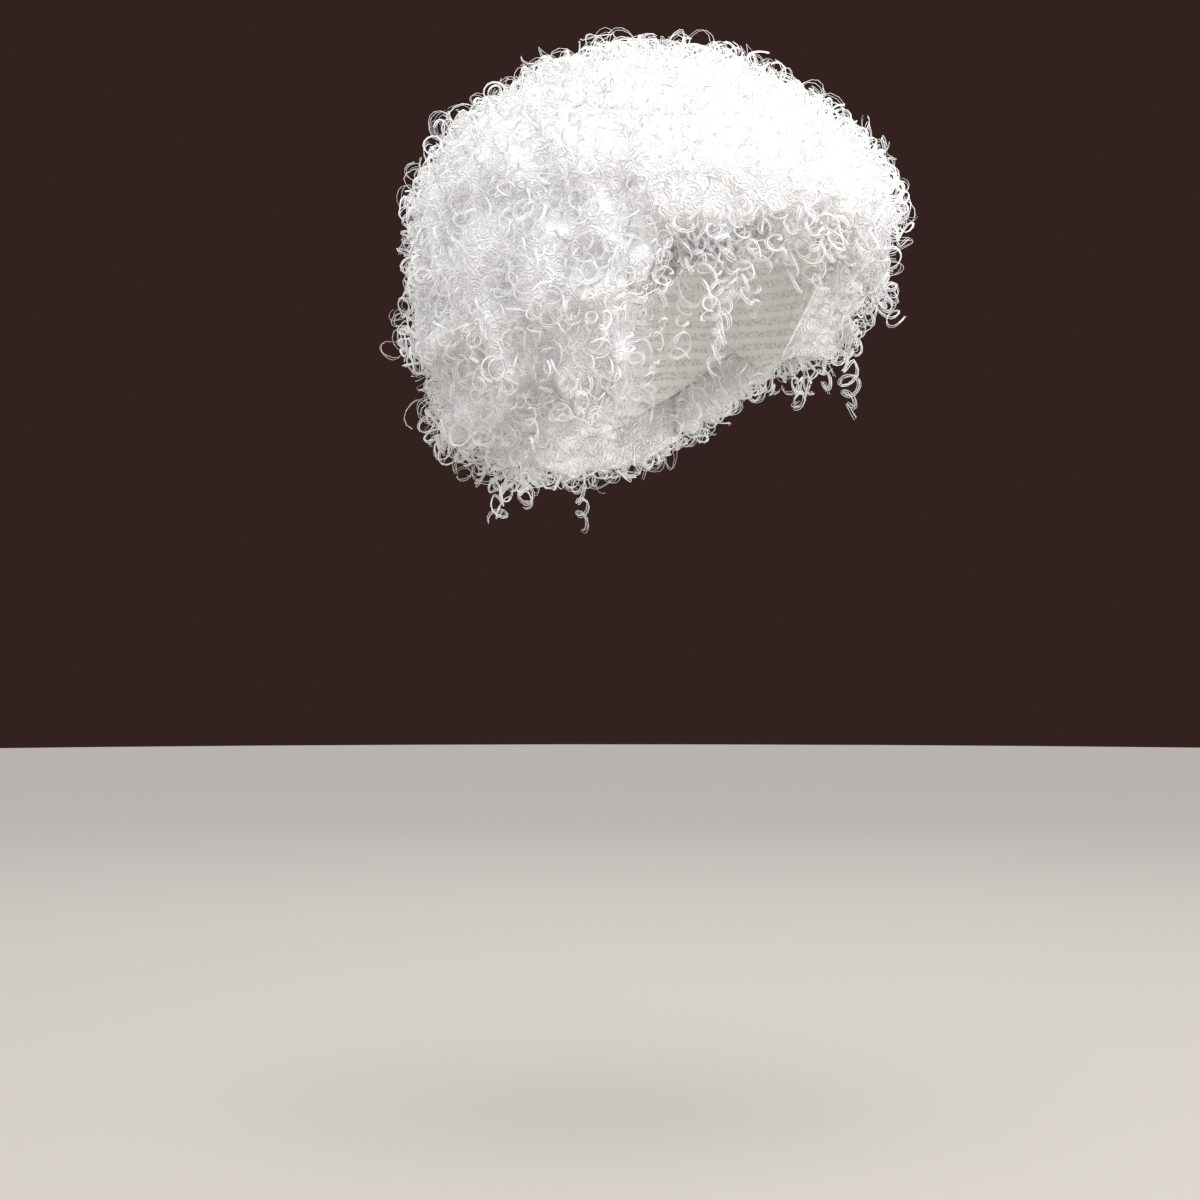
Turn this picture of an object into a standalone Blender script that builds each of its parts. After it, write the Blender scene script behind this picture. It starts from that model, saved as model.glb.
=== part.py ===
"""Curly afro wig: a net cap and six sections of wefted curls sewn round it.

The wig keeps the form that it has when it is worn. Its origin is the crown of the cap's inside,
where a head carries it. +Z is up, the face looks along -Y and +X is the wearer's left.
Azimuths run round the head from the face, in degrees, positive towards the wearer's left.
"""

import math
import random
from collections import namedtuple

import bmesh
import bpy
from mathutils import Matrix, Vector

# Head and cap, in metres
HEAD_LENGTH = 0.198
HEAD_WIDTH = 0.156
CROWN_TO_WIDEST = 0.095
CAP_WALL = 0.002
CAP_FRONT_DEPTH = 0.042
CAP_NAPE_DEPTH = 0.155
CLEARANCE = 0.0003

# How far the hair stands over the cap, and how low it hangs below the crown
HAIR_OVER_CROWN = 0.083
HAIR_OVER_FACE = 0.028
HAIR_OVER_SIDES = 0.072
HAIR_OVER_BACK = 0.071
FRINGE_DROP = 0.069
NAPE_DROP = 0.205

# Curls, which stand on the sections' backing, and ringlets, which hang from it
CURL_RISE = 0.018
CURL_RADIUS = 0.0090
CURL_SPACING = 0.030
SMALLEST_CURL = 0.85
LARGEST_CURL = 1.10
CURL_STRAY = 0.12
RINGLET_RADIUS = 0.0060
RINGLET_WIRE = 0.0035
RINGLET_TIP = 0.6

# Where the sections part: angles in degrees, and a depth below the crown
CROWN_ANGLE = 39.0
FACE_ANGLE = 65.0
BACK_ANGLE = 130.0
NAPE_LINE = 0.112

# How finely the forms are drawn. A section is fused at a grain of FUSED_SIZE, and KEPT_SHARE of its
# faces stay
FUSED_SIZE = 0.0070
KEPT_SHARE = 0.135
CAP_SEGMENTS = 32
CAP_RINGS = 8
HAIR_SEGMENTS = 24
CONE_SEGMENTS = 24
WEDGE_STEPS = 4
PROFILE_STEPS = 400
RINGLET_STEPS = 7
LEAN_TRIES = 8
SEED = 7

# The cap's edge, as a share of the way from its front edge's depth to its nape's
EdgePoint = namedtuple("EdgePoint", "azimuth share")
CAP_EDGE = (
    EdgePoint(0, 0.00),
    EdgePoint(35, 0.07),
    EdgePoint(65, 0.30),
    EdgePoint(84, 0.66),
    EdgePoint(100, 0.50),
    EdgePoint(118, 0.70),
    EdgePoint(150, 0.94),
    EdgePoint(180, 1.00),
)

# The head below its widest line. depth is a share of CROWN_TO_WIDEST, the rest are of the head's sizes
HeadSection = namedtuple("HeadSection", "depth length width shift")
HEAD_SECTIONS = (
    HeadSection(1.00, 1.00, 1.00, 0.000),
    HeadSection(1.30, 0.94, 0.95, 0.010),
    HeadSection(1.65, 0.76, 0.80, 0.045),
    HeadSection(2.00, 0.62, 0.70, 0.070),
    HeadSection(3.00, 0.60, 0.70, 0.070),
)

# The hair's outer form. height is a share of its rise over the crown, or of its drop below it
HairSection = namedtuple("HairSection", "height girth")
HAIR_SECTIONS = (
    HairSection(1.00, 0.00),
    HairSection(0.94, 0.26),
    HairSection(0.80, 0.46),
    HairSection(0.60, 0.62),
    HairSection(0.36, 0.78),
    HairSection(0.12, 0.92),
    HairSection(-0.10, 0.99),
    HairSection(-0.26, 1.00),
    HairSection(-0.44, 0.98),
    HairSection(-0.64, 0.96),
    HairSection(-0.80, 0.87),
    HairSection(-0.92, 0.70),
    HairSection(-1.00, 0.00),
)

# How low the hair hangs round the head, as a share of the way from the fringe's hem to the nape's
HemPoint = namedtuple("HemPoint", "azimuth share")
HEM = (
    HemPoint(-180, 1.00),
    HemPoint(-130, 0.95),
    HemPoint(-100, 0.79),
    HemPoint(-60, 0.66),
    HemPoint(-45, 0.00),
    HemPoint(45, 0.00),
    HemPoint(60, 0.44),
    HemPoint(100, 0.58),
    HemPoint(130, 0.90),
    HemPoint(180, 1.00),
)

# A curl from its root to its tip: how far it has turned over, in degrees, and its thickness as a share
# of CURL_RADIUS
CurlSection = namedtuple("CurlSection", "turn thickness")
CURL_SECTIONS = (
    CurlSection(-35, 1.00),
    CurlSection(0, 1.05),
    CurlSection(40, 1.00),
    CurlSection(80, 0.90),
    CurlSection(115, 0.75),
    CurlSection(150, 0.50),
)

# Ringlets that hang free. reach is a share of the way from the head to the hair's outer form,
# depth is a share of the way down to its hem, and fall and out are shares of the nape's drop
Ringlet = namedtuple("Ringlet", "section azimuth reach depth fall out turns")
RINGLETS = (
    Ringlet("left_side_hair", 65, 0.66, 0.60, 0.29, 0.02, 3),
    Ringlet("left_side_hair", 66, 0.75, 0.40, 0.14, 0.19, 2),
    Ringlet("fringe", -38, 0.55, 0.48, 0.44, 0.00, 4),
    Ringlet("fringe", 20, 0.55, 0.48, 0.24, 0.00, 2),
    Ringlet("right_side_hair", -78, 0.20, 0.76, 0.24, 0.00, 2),
    Ringlet("nape_hair", -142, 0.40, 0.76, 0.25, 0.00, 2),
    Ringlet("nape_hair", 158, 0.35, 0.76, 0.26, 0.00, 2),
)

# Between which azimuths and depths each section lies, below the crown's
Section = namedtuple("Section", "name start end top bottom")
SECTIONS = (
    Section("fringe", -FACE_ANGLE, FACE_ANGLE, None, None),
    Section("right_side_hair", -BACK_ANGLE, -FACE_ANGLE, None, None),
    Section("left_side_hair", FACE_ANGLE, BACK_ANGLE, None, None),
    Section("back_hair", BACK_ANGLE, 360 - BACK_ANGLE, None, NAPE_LINE),
    Section("nape_hair", BACK_ANGLE, 360 - BACK_ANGLE, NAPE_LINE, None),
)
CROWN = "crown_hair"

CAP_COLOUR = (0.80, 0.79, 0.77)
HAIR_COLOUR = (0.90, 0.90, 0.89)


def mixed(rows, key, at, column):
    """A column of a table at any place between its rows, or that of its nearer end."""
    for before, after in zip(rows, rows[1:]):
        start = getattr(before, key)
        share = (at - start) / (getattr(after, key) - start)
        if 0 <= share <= 1:
            return (1 - share) * getattr(before, column) + share * getattr(after, column)
    nearer = min(rows[0], rows[-1], key=lambda row: abs(getattr(row, key) - at))
    return getattr(nearer, column)


def head_point(azimuth, depth, grow):
    """A point on the head at a depth below its crown, or on the head grown all round."""
    share = depth / CROWN_TO_WIDEST
    if share < 1:
        length = width = math.sqrt(1 - (1 - share) ** 2)
        shift = 0.0
        spread = grow * length
        lift = grow * (1 - share)
    else:
        length = mixed(HEAD_SECTIONS, "depth", share, "length")
        width = mixed(HEAD_SECTIONS, "depth", share, "width")
        shift = mixed(HEAD_SECTIONS, "depth", share, "shift")
        spread = grow
        lift = 0.0
    angle = math.radians(azimuth)
    x = (HEAD_WIDTH / 2 * width + spread) * math.sin(angle)
    y = HEAD_LENGTH * shift - (HEAD_LENGTH / 2 * length + spread) * math.cos(angle)
    return Vector((x, y, lift - depth))


def cap_edge_depth(azimuth):
    """How far below the crown the cap's edge lies."""
    share = mixed(CAP_EDGE, "azimuth", abs(azimuth), "share")
    return CAP_FRONT_DEPTH + share * (CAP_NAPE_DEPTH - CAP_FRONT_DEPTH)


def cap_point(ring, azimuth, grow):
    """A point of the cap on one of its rings, which run from its crown to its edge."""
    share = ring / CAP_RINGS
    return head_point(azimuth, cap_edge_depth(azimuth) * (share + share**2) / 2, grow)


def hem_depth(azimuth):
    """How far below the crown the hair hangs."""
    share = mixed(HEM, "azimuth", (azimuth + 180) % 360 - 180, "share")
    return FRINGE_DROP + share * (NAPE_DROP - FRINGE_DROP)


def hair_point(azimuth, height, inset):
    """A point on the hair's outer form, or inset below it."""
    front = HEAD_LENGTH / 2 + CAP_WALL + HAIR_OVER_FACE
    back = HEAD_LENGTH / 2 + CAP_WALL + HAIR_OVER_BACK
    half_width = HEAD_WIDTH / 2 + CAP_WALL + HAIR_OVER_SIDES - inset
    half_length = (front + back) / 2 - inset
    rise = CAP_WALL + HAIR_OVER_CROWN - inset
    drop = hem_depth(azimuth) - inset
    girth = mixed(HAIR_SECTIONS, "height", height, "girth")
    angle = math.radians(azimuth)
    x = half_width * girth * math.sin(angle)
    y = (back - front) / 2 - half_length * girth * math.cos(angle)
    return Vector((x, y, height * (rise if height > 0 else drop)))


def hair_normal(azimuth, height, inset):
    """The way out of the hair at a point of its form."""
    step = 4 / PROFILE_STEPS
    up = hair_point(azimuth, height + step, inset) - hair_point(azimuth, height - step, inset)
    left = hair_point(azimuth + 1, height, inset) - hair_point(azimuth - 1, height, inset)
    return left.cross(up).normalized()


def azimuth_of(point):
    return math.degrees(math.atan2(point.x, -point.y))


def section_at(point):
    """The name of the section that a point lies in."""
    above = point.z + CROWN_TO_WIDEST
    if math.hypot(point.x, point.y) < above * math.tan(math.radians(CROWN_ANGLE)):
        return CROWN
    for section in SECTIONS:
        turned = (azimuth_of(point) - section.start) % 360
        above_bottom = section.bottom is None or -point.z < section.bottom
        below_top = section.top is None or -point.z >= section.top
        if turned < section.end - section.start and above_bottom and below_top:
            return section.name


def sections_near(point, normal):
    """The names of the sections that a curl standing on a point reaches into."""
    side = normal.orthogonal().normalized() * CURL_RADIUS
    names = {section_at(point)}
    for turn in range(0, 360, 45):
        names.add(section_at(point + Matrix.Rotation(math.radians(turn), 3, normal) @ side))
    return sorted(names)


def new_material(name, colour, roughness):
    material = bpy.data.materials.new(name)
    material.use_nodes = True
    shader = material.node_tree.nodes["Principled BSDF"]
    shader.inputs["Base Color"].default_value = (*colour, 1.0)
    shader.inputs["Roughness"].default_value = roughness
    shader.inputs["Metallic"].default_value = 0.0
    material.diffuse_color = (*colour, 1.0)
    return material


def new_collection(name, parent, hidden=False):
    collection = bpy.data.collections.new(name)
    parent.children.link(collection)
    collection.hide_render = hidden
    return collection


def new_part(name, mesh, material, collection):
    """A piece of the wig."""
    mesh.materials.append(material)
    part = bpy.data.objects.new(name, mesh)
    collection.objects.link(part)
    return part


def new_cutter(name, mesh, collection):
    """A helper that a modifier cuts or joins with."""
    cutter = bpy.data.objects.new(name, mesh)
    cutter.hide_render = True
    cutter.display_type = "WIRE"
    collection.objects.link(cutter)
    return cutter


def mesh_from(shape, name):
    """A mesh from a bmesh, its faces turned outwards and shaded smooth."""
    bmesh.ops.recalc_face_normals(shape, faces=shape.faces)
    mesh = bpy.data.meshes.new(name)
    shape.to_mesh(mesh)
    shape.free()
    mesh.shade_smooth()
    return mesh


def shaped_sphere(name, segments, rings, place, last_ring=None):
    """A sphere with its points moved to place(ring, azimuth), open below last_ring if one is given.

    Its faces are split alike each time, so that two of these lie evenly apart.
    """
    shape = bmesh.new()
    bmesh.ops.create_uvsphere(shape, u_segments=segments, v_segments=rings, radius=1.0)
    below = []
    for vertex in shape.verts:
        ring = round(rings * math.acos(max(-1.0, min(1.0, vertex.co.z))) / math.pi)
        if last_ring is not None and ring > last_ring:
            below.append(vertex)
        else:
            vertex.co = place(ring, azimuth_of(vertex.co))
    bmesh.ops.delete(shape, geom=below, context="VERTS")
    bmesh.ops.triangulate(shape, faces=shape.faces, quad_method="FIXED")
    return mesh_from(shape, name)


def make_cap(material, collection):
    """The net cap: an open dome on the head, with the cap's wall outside it."""
    mesh = shaped_sphere(
        "cap", CAP_SEGMENTS, 2 * CAP_RINGS, lambda ring, azimuth: cap_point(ring, azimuth, 0.0), CAP_RINGS
    )
    cap = new_part("cap", mesh, material, collection)
    wall = cap.modifiers.new("wall", "SOLIDIFY")
    wall.thickness = CAP_WALL
    wall.offset = 1.0
    return cap


def make_head_space(collection):
    """The room for the cap and the head: the cap's own rings, then the head and neck below them."""
    grow = CAP_WALL + CLEARANCE
    floor = CROWN_TO_WIDEST * HEAD_SECTIONS[-1].depth

    def place(ring, azimuth):
        if ring <= CAP_RINGS:
            return cap_point(ring, azimuth, grow)
        share = min(1.0, (ring - CAP_RINGS) / (CAP_RINGS - 1))
        edge = cap_edge_depth(azimuth)
        point = head_point(azimuth, edge + share * (floor - edge), grow)
        return Vector((0.0, point.y, point.z)) if ring == 2 * CAP_RINGS else point

    mesh = shaped_sphere("head_space", CAP_SEGMENTS, 2 * CAP_RINGS, place)
    return new_cutter("head_space", mesh, collection)


def make_wedge(section, collection):
    """The room of one section, half a clearance inside its planes all round."""
    gap = CLEARANCE / 2
    far = 2 * (HEAD_LENGTH + HAIR_OVER_BACK)
    half = math.radians(section.end - section.start) / 2
    middle = math.radians(section.start) + half
    apex = gap / math.sin(half)
    outline = [(apex * math.sin(middle), -apex * math.cos(middle))]
    for step in range(WEDGE_STEPS + 1):
        angle = middle + half * (2 * step / WEDGE_STEPS - 1)
        x = outline[0][0] + far * math.sin(angle)
        y = outline[0][1] - far * math.cos(angle)
        outline.append((x, y))
    bottom = -far if section.bottom is None else gap - section.bottom
    top = far if section.top is None else -gap - section.top
    shape = bmesh.new()
    face = shape.faces.new([shape.verts.new((x, y, bottom)) for x, y in outline])
    raised = bmesh.ops.extrude_face_region(shape, geom=[face])["geom"]
    corners = [item for item in raised if isinstance(item, bmesh.types.BMVert)]
    bmesh.ops.translate(shape, verts=corners, vec=(0, 0, top - bottom))
    name = section.name + "_space"
    return new_cutter(name, mesh_from(shape, name), collection)


def make_crown_space(name, lift, collection):
    """The cone that parts the crown from the sections round it, moved up or down by half a clearance."""
    angle = math.radians(CROWN_ANGLE)
    height = CROWN_TO_WIDEST + 2 * HAIR_OVER_CROWN
    shape = bmesh.new()
    bmesh.ops.create_cone(
        shape,
        cap_ends=True,
        segments=CONE_SEGMENTS,
        radius1=0.0,
        radius2=height * math.tan(angle),
        depth=height,
    )
    bmesh.ops.remove_doubles(shape, verts=shape.verts, dist=1e-6)
    rise = height / 2 - CROWN_TO_WIDEST + lift * CLEARANCE / 2 / math.sin(angle)
    bmesh.ops.translate(shape, verts=shape.verts, vec=(0, 0, rise))
    return new_cutter(name, mesh_from(shape, name), collection)


def tube_mesh(name, points, radii, sides_level):
    """A closed tube through points, with a radius at each."""
    curve = bpy.data.curves.new(name, "CURVE")
    curve.dimensions = "3D"
    curve.bevel_depth = 1.0
    curve.bevel_resolution = sides_level
    curve.use_fill_caps = True
    spline = curve.splines.new("POLY")
    spline.points.add(len(points) - 1)
    for index, (point, radius) in enumerate(zip(points, radii)):
        spline.points[index].co = (*point, 1.0)
        spline.points[index].radius = radius
    guide = bpy.data.objects.new(name, curve)
    drawn = bpy.data.meshes.new_from_object(guide)
    bpy.data.objects.remove(guide)
    bpy.data.curves.remove(curve)
    shape = bmesh.new()
    shape.from_mesh(drawn)
    bpy.data.meshes.remove(drawn)
    bmesh.ops.remove_doubles(shape, verts=shape.verts, dist=1e-5)
    return mesh_from(shape, name)


def curl_points(base, normal, lean, size):
    """A curl's middle line: it leaves the backing along normal and turns over towards lean."""
    bend = size * (CURL_RISE - CURL_RADIUS * CURL_SECTIONS[-1].thickness)
    points = []
    for section in CURL_SECTIONS:
        angle = math.radians(section.turn)
        points.append(base + bend * (math.sin(angle) * normal + (1 - math.cos(angle)) * lean))
    return points


def curl_rows():
    """The heights of the rows of curls, evenly spaced down the side of the hair."""
    rows = []
    walked = 0.0
    before = hair_point(90, 1.0, CURL_RISE)
    for step in range(1, PROFILE_STEPS):
        height = 1 - 2 * step / PROFILE_STEPS
        point = hair_point(90, height, CURL_RISE)
        walked += (point - before).length
        before = point
        if walked >= CURL_SPACING * (len(rows) + 0.5) and height > HAIR_SECTIONS[-2].height:
            rows.append(height)
    return rows


def make_curls(chance):
    """Rows of curls round the head: the meshes of those that each section holds.

    A curl on the line between two sections is in both, and each keeps its own side of it.
    """
    curls = {name: [] for name in (CROWN, *(section.name for section in SECTIONS))}
    for row, height in enumerate(curl_rows()):
        girth = (hair_point(90, height, CURL_RISE) - hair_point(-90, height, CURL_RISE)).length
        count = max(3, round(math.pi * girth / CURL_SPACING))
        for index in range(count):
            stray = chance.uniform(-CURL_STRAY, CURL_STRAY)
            azimuth = 360 * (index + 0.5 * (row % 2) + stray) / count - 180
            base = hair_point(azimuth, height, CURL_RISE)
            home = section_at(base)
            normal = hair_normal(azimuth, height, CURL_RISE)
            side = normal.orthogonal().normalized()
            first = chance.uniform(0, 360)
            size = chance.uniform(SMALLEST_CURL, LARGEST_CURL)
            for turn in range(LEAN_TRIES):
                lean = Matrix.Rotation(math.radians(first + 360 * turn / LEAN_TRIES), 3, normal) @ side
                points = curl_points(base, normal, lean, size)
                if section_at(points[-1]) == home:
                    break
            radii = [size * CURL_RADIUS * section.thickness for section in CURL_SECTIONS]
            for name in sections_near(base, normal):
                curls[name].append(tube_mesh("curl", points, radii, 1))
    return curls


def ringlet_points(ringlet):
    """A falling coil's middle line, from a root inside the head's space, which trims it."""
    outer = hair_point(ringlet.azimuth, -ringlet.depth, 0.0)
    start = head_point(ringlet.azimuth, -outer.z, 0.0).lerp(outer, ringlet.reach)
    root = Vector((start.x / 2, start.y / 2, start.z))
    outward = (start - root).normalized()
    sideways = outward.cross(Vector((0, 0, 1)))
    fall = NAPE_DROP * (ringlet.out * outward - Vector((0, 0, ringlet.fall)))
    steps = ringlet.turns * RINGLET_STEPS
    points = [root]
    for step in range(steps + 1):
        angle = 2 * math.pi * ringlet.turns * step / steps
        turned = math.sin(angle) * sideways - math.cos(angle) * outward
        points.append(start + fall * step / steps + RINGLET_RADIUS * turned)
    return points


def cut(part, name, operation, other):
    step = part.modifiers.new(name, "BOOLEAN")
    step.operation = operation
    step.solver = "MANIFOLD"
    step.object = other


def make_section(name, curls, material, collection):
    """One section of hair: a backing and its curls, fused into one body."""
    rings = len(HAIR_SECTIONS) - 1
    backing = shaped_sphere(
        name,
        HAIR_SEGMENTS,
        rings,
        lambda ring, azimuth: hair_point(azimuth, HAIR_SECTIONS[ring].height, CURL_RISE),
    )
    shape = bmesh.new()
    shape.from_mesh(backing)
    for curl in curls:
        shape.from_mesh(curl)
        bpy.data.meshes.remove(curl)
    shape.to_mesh(backing)
    shape.free()
    part = new_part(name, backing, material, collection)
    fuse = part.modifiers.new("fuse", "REMESH")
    fuse.mode = "VOXEL"
    fuse.voxel_size = FUSED_SIZE
    fuse.use_smooth_shade = True
    simpler = part.modifiers.new("simpler", "DECIMATE")
    simpler.ratio = KEPT_SHARE
    return part


def build():
    for thing in list(bpy.data.objects):
        bpy.data.objects.remove(thing)
    scene = bpy.context.scene.collection
    wig = new_collection("afro wig", scene)
    helpers = new_collection("cutters", scene, hidden=True)
    cap_material = new_material("cap", CAP_COLOUR, 0.85)
    hair_material = new_material("hair", HAIR_COLOUR, 0.55)

    make_cap(cap_material, wig)
    head_space = make_head_space(helpers)
    crown_room = make_crown_space("crown_space", 1, helpers)
    round_crown = make_crown_space("round_crown_space", -1, helpers)
    curls = make_curls(random.Random(SEED))

    crown = make_section(CROWN, curls[CROWN], hair_material, wig)
    cut(crown, "room", "INTERSECT", crown_room)
    for section in SECTIONS:
        part = make_section(section.name, curls[section.name], hair_material, wig)
        cut(part, "room", "INTERSECT", make_wedge(section, helpers))
        cut(part, "crown", "DIFFERENCE", round_crown)
    for index, ringlet in enumerate(RINGLETS):
        name = f"ringlet_{index}"
        points = ringlet_points(ringlet)
        taper = (1 - RINGLET_TIP) / len(points)
        radii = [RINGLET_WIRE * (1 - taper * step) for step in range(len(points))]
        coil = new_cutter(name, tube_mesh(name, points, radii, 0), helpers)
        cut(bpy.data.objects[ringlet.section], name, "UNION", coil)
    for name in curls:
        cut(bpy.data.objects[name], "head", "DIFFERENCE", head_space)


build()
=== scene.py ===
"""Looks of the curly afro wig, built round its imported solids.

Each of the six sections of hair is a backing of packed curls, covered with coils of fine fibre. The net
cap keeps its solid. Azimuths run round the head from the face, in degrees, positive towards the wearer's
left, as in the part's own source.
"""

import math
import random
from collections import namedtuple
from functools import partial

import bmesh
import bpy
import numpy as np
from bpy.props import FloatProperty, FloatVectorProperty, IntProperty, PointerProperty, StringProperty
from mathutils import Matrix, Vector, noise
from mathutils.bvhtree import BVHTree


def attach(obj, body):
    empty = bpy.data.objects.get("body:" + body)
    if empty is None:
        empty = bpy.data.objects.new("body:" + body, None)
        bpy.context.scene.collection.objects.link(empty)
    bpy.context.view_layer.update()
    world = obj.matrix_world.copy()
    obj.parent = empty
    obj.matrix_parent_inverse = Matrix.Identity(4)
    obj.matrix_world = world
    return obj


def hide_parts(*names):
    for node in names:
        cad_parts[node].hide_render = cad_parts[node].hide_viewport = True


bl_info = {
    "name": "Curly afro wig",
    "version": (1, 0, 0),
    "blender": (4, 5, 0),
    "location": "View3D > Sidebar > Wig",
    "description": "Covers the sections of an afro wig with coils of fibre and finishes its net cap",
    "category": "Object",
}

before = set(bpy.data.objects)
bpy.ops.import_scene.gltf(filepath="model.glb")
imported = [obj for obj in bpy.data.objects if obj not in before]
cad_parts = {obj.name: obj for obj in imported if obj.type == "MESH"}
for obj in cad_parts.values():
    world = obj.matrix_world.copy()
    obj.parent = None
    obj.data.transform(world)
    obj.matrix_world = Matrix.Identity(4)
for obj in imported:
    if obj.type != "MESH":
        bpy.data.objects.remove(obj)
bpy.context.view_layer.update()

HAIR_NODES = ("crown_hair", "fringe", "right_side_hair", "left_side_hair", "back_hair", "nape_hair")

# Head and hair, in metres, as in the part's own source
HEAD_LENGTH = 0.198
HEAD_WIDTH = 0.156
CROWN_TO_WIDEST = 0.095
CAP_WALL = 0.002
HAIR_OVER_CROWN = 0.083
HAIR_OVER_FACE = 0.028
HAIR_OVER_SIDES = 0.072
HAIR_OVER_BACK = 0.071
FRINGE_DROP = 0.069
NAPE_DROP = 0.205

# The head below its widest line. depth is a share of CROWN_TO_WIDEST, the rest are of the head's sizes
HeadSection = namedtuple("HeadSection", "depth length width shift")
HEAD_SECTIONS = (
    HeadSection(1.00, 1.00, 1.00, 0.000),
    HeadSection(1.30, 0.94, 0.95, 0.010),
    HeadSection(1.65, 0.76, 0.80, 0.045),
    HeadSection(2.00, 0.62, 0.70, 0.070),
    HeadSection(3.00, 0.60, 0.70, 0.070),
)

# The hair's outer form. height is a share of its rise over the crown, or of its drop below it
HairSection = namedtuple("HairSection", "height girth")
HAIR_SECTIONS = (
    HairSection(-1.00, 0.00),
    HairSection(-0.92, 0.70),
    HairSection(-0.80, 0.87),
    HairSection(-0.64, 0.96),
    HairSection(-0.44, 0.98),
    HairSection(-0.26, 1.00),
    HairSection(-0.10, 0.99),
    HairSection(0.12, 0.92),
    HairSection(0.36, 0.78),
    HairSection(0.60, 0.62),
    HairSection(0.80, 0.46),
    HairSection(0.94, 0.26),
    HairSection(1.00, 0.00),
)

# How low the hair hangs round the head, as a share of the way from the fringe's hem to the nape's
HemPoint = namedtuple("HemPoint", "azimuth share")
HEM = (
    HemPoint(-180, 1.00),
    HemPoint(-130, 0.95),
    HemPoint(-100, 0.79),
    HemPoint(-60, 0.66),
    HemPoint(-45, 0.00),
    HemPoint(45, 0.00),
    HemPoint(60, 0.44),
    HemPoint(100, 0.58),
    HemPoint(130, 0.90),
    HemPoint(180, 1.00),
)

# Ringlets that hang free, placed as in the part's own source
Ringlet = namedtuple("Ringlet", "section azimuth reach depth fall out")
RINGLETS = (
    Ringlet("left_side_hair", 65, 0.66, 0.60, 0.29, 0.02),
    Ringlet("left_side_hair", 66, 0.75, 0.40, 0.14, 0.19),
    Ringlet("fringe", -38, 0.55, 0.48, 0.44, 0.00),
    Ringlet("fringe", 20, 0.55, 0.48, 0.24, 0.00),
    Ringlet("right_side_hair", -78, 0.20, 0.76, 0.24, 0.00),
    Ringlet("nape_hair", -142, 0.40, 0.76, 0.25, 0.00),
    Ringlet("nape_hair", 158, 0.35, 0.76, 0.26, 0.00),
)

# Rows of short curls along a hem. near and far are shares of the way from the head to the hair's outside,
# high and low are heights as in HAIR_SECTIONS, and out is how far a curl leans outwards for its fall
CurlRow = namedtuple("CurlRow", "section first last count near far high low shortest longest out")
CURL_ROWS = (
    CurlRow("fringe", -62, 60, 56, 0.75, 1.02, -0.45, -0.78, 0.006, 0.020, 0.1),
    CurlRow("fringe", -60, 58, 42, 0.25, 0.70, -0.60, -0.92, 0.004, 0.018, 0.0),
    CurlRow("fringe", -50, -26, 12, 0.30, 0.70, -0.60, -0.90, 0.020, 0.062, 0.0),
    CurlRow("right_side_hair", -92, -60, 22, 0.05, 0.85, -0.55, -0.85, 0.008, 0.030, 0.0),
    CurlRow("left_side_hair", 58, 84, 14, 0.20, 0.90, -0.60, -0.88, 0.004, 0.018, 0.1),
    CurlRow("left_side_hair", 62, 71, 7, 0.76, 0.95, -0.32, -0.44, 0.012, 0.020, 1.8),
    CurlRow("nape_hair", -178, -112, 14, 0.20, 0.85, -0.60, -0.88, 0.004, 0.016, 0.0),
    CurlRow("nape_hair", -150, -136, 5, 0.30, 0.60, -0.80, -0.92, 0.012, 0.030, 0.0),
    CurlRow("nape_hair", 112, 178, 14, 0.20, 0.85, -0.60, -0.88, 0.004, 0.016, 0.0),
)

# How finely the forms are drawn. Steps are those of a whole coil, and of one turn of a falling curl. Points
# of a solid that lie within WELD of each other are one
FORM_SEGMENTS = 48
FORM_RINGS = 24
BACKING_GRAIN = 0.0040
BACKING_SMOOTHING = 3
SMOOTHING_SHARE = 0.5
COIL_STEPS = 12
RINGLET_STEPS = 10
STRAND_SIDES = 3
WELD = 1e-6

# Coils on the backing. TRIES is how many places are tried on each spacing's square, and LOWEST_COIL is a
# share of the highest coil's height. Ranges run from least to most: sizes and parts are shares of a whole
# coil, and stretches are along its own axis. COIL_TIP is the tip's radius as a share of the root's
TRIES = 4.0
LOWEST_COIL = 0.2
COIL_SIZES = (0.60, 1.30)
COIL_STRETCHES = (0.20, 1.50)
COIL_PARTS = (0.55, 1.00)
COIL_TIP = 0.7

# Smooth random bends. scale is how many there are to the metre, reach is how far they go, in metres
Bend = namedtuple("Bend", "scale reach")
COIL_BEND = Bend(55.0, 0.0045)
FALLING_BEND = Bend(50.0, 0.007)

# Strands of a lock. They part at the root, by more at the tip, and each wanders by itself, all as shares
# of the spread. STRAND_SCALE is a bend's scale, and STRAND_VARIETY says how unlike two strands wander
ROOT_PARTING = 0.4
TIP_PARTING = 0.9
STRAND_WANDER = 2.0
STRAND_SCALE = 90.0
STRAND_VARIETY = 9.0

# A strand's tip is thinner by this share of its radius, and a higher power keeps that nearer to the tip
TIP_THINNING = 0.6
THINNING_POWER = 2.0

# The along attribute starts at this value on the fibre and is 0 on the backing
ALONG_START = 0.01

# Flyaway wisps stand higher than coils and part wider, by these factors. A falling curl has some strands
# more than a coil
WISP_HEIGHT = 1.5
WISP_SPREAD = 1.6
WISP_STRANDS = 2
EXTRA_STRANDS = 1

# Steps from one seed to the next, for the wisps of a section and for the next section
NEXT_SEED = 5
SECTION_SEED = 100

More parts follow.
